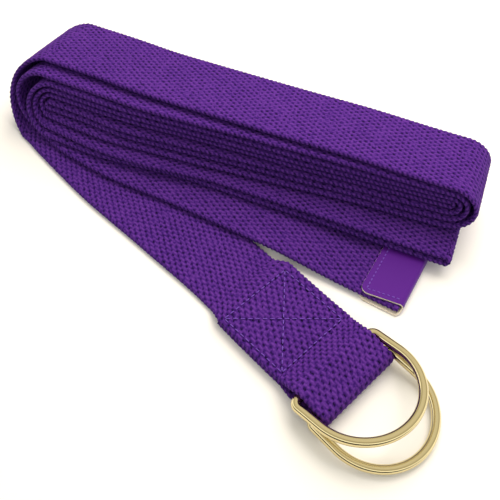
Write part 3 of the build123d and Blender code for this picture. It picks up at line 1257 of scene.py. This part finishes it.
@dataclass
class VinylTip:
    """Sheet of vinyl folded round the strap's end, its cut edges showing the pale base."""

    length: float = 19.0
    sheet: float = 0.85
    gap: float = 0.06
    end_gap: float = 0.25
    corner: float = 4.0
    stitch_inset: float = 2.6
    stitch_lift: float = 0.12
    stitch_end: float = -1.6
    stitch_askew: float = 0.85
    puff: float = 0.16
    puff_run: float = 4.0
    edge_round: float = 0.14
    edge_angle: float = 50.0
    lower_overhang: float = 1.3
    askew: float = 2.8
    across: int = 48
    rim_steps: int = 4

    def fold_radius(self) -> float:
        """Radius of the sheet's middle surface round the fold."""
        return LAYOUT.thick / 2 + self.gap + self.sheet / 2

    def profile(self) -> Array:
        """Middle line from the upper cut edge round the fold to the lower one, as (along, z, normal)."""
        radius = self.fold_radius()
        centre = self.end_gap + self.sheet / 2 - radius
        run = np.linspace(-self.length, centre, 30)
        flat = np.column_stack([run, np.full(30, radius), np.zeros(30), np.ones(30)])
        angles = np.linspace(math.pi / 2, -math.pi / 2, 17)[1:-1]
        turn = np.column_stack(
            [centre + radius * np.cos(angles), radius * np.sin(angles), np.cos(angles), np.sin(angles)]
        )
        under = flat[::-1] * np.array([1, -1, 1, -1])
        return np.concatenate([flat, turn, under])

    def build(self, face: bpy.types.Material, edge: bpy.types.Material) -> bpy.types.Object:
        """Make the cover.

        Args:
            face: Finish of the sheet's outer side.
            edge: Finish of its cut edges and backing.

        Returns:
            The mesh object.
        """
        line = self.profile()
        rows = len(line)
        inset = np.clip(self.corner - (line[:, 0] + self.length), 0, self.corner)
        trim = self.corner - np.sqrt(self.corner**2 - inset**2)
        half = LAYOUT.width / 2 - trim
        t = np.linspace(-1, 1, self.across + 1)
        lateral = t[None, :] * half[:, None]
        under = np.clip(-line[:, 1] / self.fold_radius(), 0, 1)[:, None]
        lateral = lateral + self.lower_overhang * under * np.minimum(t, 0)[None, :]
        reach = np.clip((line[:, 0] + self.length) / self.length, 0, 1)[:, None]
        lateral = lateral + self.askew * reach * (1 - under) * np.clip(-t, 0, 1)[None, :] ** 2
        upper = (line[:, 1] > 0)[:, None]
        puff = self.puff * (1 - t[None, :] ** 2) * np.where(upper, 1, 0)
        lift = puff * np.clip((line[:, 0] + self.length) / self.puff_run, 0, 1)[:, None]
        layers = []
        for offset in (self.sheet / 2, -self.sheet / 2):
            along = line[:, 0] + line[:, 2] * offset
            z = LAYOUT.tip_level + line[:, 1] + line[:, 3] * offset
            layers.append(LAYOUT.tip_point(along[:, None], lateral, z[:, None] + lift))
        points = np.concatenate([layer.reshape(-1, 3) for layer in layers])
        step = self.across + 1
        grid = rows * step
        faces: list[list[int]] = []
        kinds: list[int] = []
        for i in range(rows - 1):
            for j in range(self.across):
                a, b, c, d = i * step + j, i * step + j + 1, (i + 1) * step + j + 1, (i + 1) * step + j
                faces.append([a, b, c, d])
                kinds.append(0)
                faces.append([grid + d, grid + c, grid + b, grid + a])
                kinds.append(1)
        loop = list(range(step))
        loop += [i * step + self.across for i in range(1, rows)]
        loop += [(rows - 1) * step + j for j in range(self.across - 1, -1, -1)]
        loop += [i * step for i in range(rows - 2, 0, -1)]
        for k, here in enumerate(loop):
            there = loop[(k + 1) % len(loop)]
            faces.append([there, here, grid + here, grid + there])
            kinds.append(1)
        thing = mesh_object("tip_vinyl_cover", LAYOUT.metres(points), faces, [face, edge])
        thing.data.polygons.foreach_set("material_index", np.array(kinds, np.int32))
        bevel = thing.modifiers.new("soft_cut_edge", "BEVEL")
        bevel.width = self.edge_round * MM
        bevel.segments = 2
        bevel.limit_method = "ANGLE"
        bevel.angle_limit = math.radians(self.edge_angle)
        return thing

    def stitching(self, material: bpy.types.Material) -> bpy.types.Object:
        """Thread along the cut edge and both long edges of the upper panel.

        Args:
            material: The thread's finish.

        Returns:
            The mesh object.
        """
        level = LAYOUT.tip_level + self.fold_radius() + self.sheet / 2 + self.stitch_lift
        side = LAYOUT.width / 2 - self.stitch_inset
        start = -self.length + self.stitch_inset
        near_end = (self.stitch_end, self.askew * self.stitch_askew - side)
        corners = (near_end, (start, -side), (start, side), (self.stitch_end, side))
        lines = list(zip(corners, corners[1:]))
        sizes = {"length": 1.5, "gap": 0.75, "radius": 0.27, "rise": 0.12}
        return stitched_lines("tip_edge_stitching", lines, LAYOUT.tip_point, level, sizes, material)


# ---------------------------------------------------------------------------------------------
# Studio
# ---------------------------------------------------------------------------------------------


@dataclass
class Studio:
    """White paper, a soft lamp overhead and banded light from the room all round."""

    focal: float = 48.96
    sensor: float = 36.0
    distance: float = 307.6
    elevation: float = 53.62
    bearing: float = 18.25
    roll: float = 4.43
    key_place: tuple[float, float, float] = (0.05, 0.38, 0.44)
    key_size: float = 0.55
    key_power: float = 4.4
    key_colour: str = "FFF6EA"
    paper_reach: float = 3.0
    paper_drop: float = 0.02
    room_strength: float = 1.6
    room_lean: float = 0.45
    room_bands: tuple[tuple[float, str], ...] = (
        (0.0, "2A2724"),
        (0.06, "080706"),
        (0.10, "FFFFFF"),
        (0.36, "FFFFFF"),
        (0.47, "A09A86"),
        (0.7, "A09A8A"),
        (1.0, "C4BFB4"),
    )

    def camera(self) -> bpy.types.Object:
        """Set the camera at its viewing angle, looking at the layout's origin."""
        data = bpy.data.cameras.new("view")
        data.lens = self.focal
        data.sensor_width = self.sensor
        rise, turn, lean = (math.radians(a) for a in (self.elevation, self.bearing, self.roll))
        back = Vector((math.sin(turn) * math.cos(rise), -math.cos(turn) * math.cos(rise), math.sin(rise)))
        target = Vector(LAYOUT.metres(np.zeros(3)))
        level = Vector((math.cos(turn), math.sin(turn), 0.0))
        upright = back.cross(level)
        right = level * math.cos(lean) + upright * math.sin(lean)
        up = back.cross(right)
        place = target + back * self.distance * MM
        camera = bpy.data.objects.new("view", data)
        camera.matrix_world = Matrix(
            [
                (right.x, up.x, back.x, place.x),
                (right.y, up.y, back.y, place.y),
                (right.z, up.z, back.z, place.z),
                (0, 0, 0, 1),
            ]
        )
        bpy.context.scene.collection.objects.link(camera)
        bpy.context.scene.camera = camera
        return camera

    def lamp(
        self, name: str, place: Sequence[float], size: float, power: float, colour: str
    ) -> bpy.types.Object:
        """Add a square soft lamp that faces the strap.

        Args:
            name: The lamp's name.
            place: Where it hangs, in metres.
            size: Its side, in metres.
            power: Its power, in watts.
            colour: Its colour as sRGB hex.

        Returns:
            The lamp.
        """
        data = bpy.data.lights.new(name, "AREA")
        data.size = size
        data.energy = power
        data.color = hex_colour(colour)[:3]
        lamp = bpy.data.objects.new(name, data)
        lamp.location = place
        lamp.rotation_euler = (-Vector(place)).to_track_quat("-Z", "Y").to_euler()
        bpy.context.scene.collection.objects.link(lamp)
        return lamp

    def floor(self, material: bpy.types.Material) -> bpy.types.Object:
        """Lay the paper.

        Args:
            material: The paper's finish.

        Returns:
            The floor.
        """
        reach = self.paper_reach
        corners = np.array([(-reach, -reach, 0), (reach, -reach, 0), (reach, reach, 0), (-reach, reach, 0)])
        corners[:, 2] = CAD_BOX[0].z - self.paper_drop * MM
        floor = mesh_object("floor", corners, [[0, 1, 2, 3]], [material])
        return floor

    def world(self) -> None:
        """Light the room in bands: dark low down, a bright band over that and mid-tones overhead."""
        world = bpy.data.worlds.new("room")
        bpy.context.scene.world = world
        world.use_nodes = True
        tree = world.node_tree
        tree.nodes.clear()
        output = tree.nodes.new("ShaderNodeOutputWorld")
        place = add_node(tree, "TexCoord")
        parts = add_node(tree, "SeparateXYZ", {0: place.outputs["Generated"]})
        lean = multiply_add(tree, parts.outputs["Y"], self.room_lean, parts.outputs["Z"])
        bands = [(level, hex_colour(colour)) for level, colour in self.room_bands]
        sky = set_ramp(add_node(tree, "ValToRGB", {"Fac": lean}), bands)
        links = {"Color": sky.outputs["Color"], "Strength": self.room_strength}
        light = add_node(tree, "Background", links)
        tree.links.new(light.outputs[0], output.inputs["Surface"])

    def build(self) -> None:
        """Set the whole studio up."""
        self.camera()
        self.world()
        self.floor(PaperSweep().material())
        key = self.lamp("overhead_softbox", self.key_place, self.key_size, self.key_power, self.key_colour)
        key.visible_glossy = False
        view = bpy.context.scene.view_settings
        view.view_transform = "Standard"


# ---------------------------------------------------------------------------------------------
# Assembly
# ---------------------------------------------------------------------------------------------


def dress(thing: bpy.types.Object, body: str, node: str) -> None:
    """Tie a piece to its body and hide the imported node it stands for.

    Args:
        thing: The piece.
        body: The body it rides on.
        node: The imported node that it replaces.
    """
    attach(thing, body)
    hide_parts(node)
    LOG.info("%s: %d vertices, rides on %s", thing.name, len(thing.data.vertices), body)


def main() -> None:
    """Build every piece in order, then the studio."""
    logging.basicConfig(level=logging.INFO, format="%(message)s")
    thread = SpunThread().material()
    nickel = NickelPlate().material()

    webbing = Webbing().build(CottonWebbing().material())
    dress(webbing, "strap", "webbing")

    box_stitching = LoopStitching().build(thread)
    dress(box_stitching, "strap", "loop_stitch")

    tip = VinylTip()
    cover = tip.build(SoftVinyl().material(), VinylBacking().material())
    dress(cover, "strap", "tip_cover")
    edge_stitching = tip.stitching(thread)
    dress(edge_stitching, "strap", "tip_stitch")

    rings = (
        DRing("upper_d_ring", "upper_ring", "ring_a", 15.0, 6.45, -1.6, 10.3),
        DRing("lower_d_ring", "lower_ring", "ring_b", 6.3, 4.35, -1.6, -3.75),
    )
    for ring in rings:
        dress(ring.build(nickel), ring.body, ring.node)

    Studio().build()


if __name__ == "__main__":
    main()
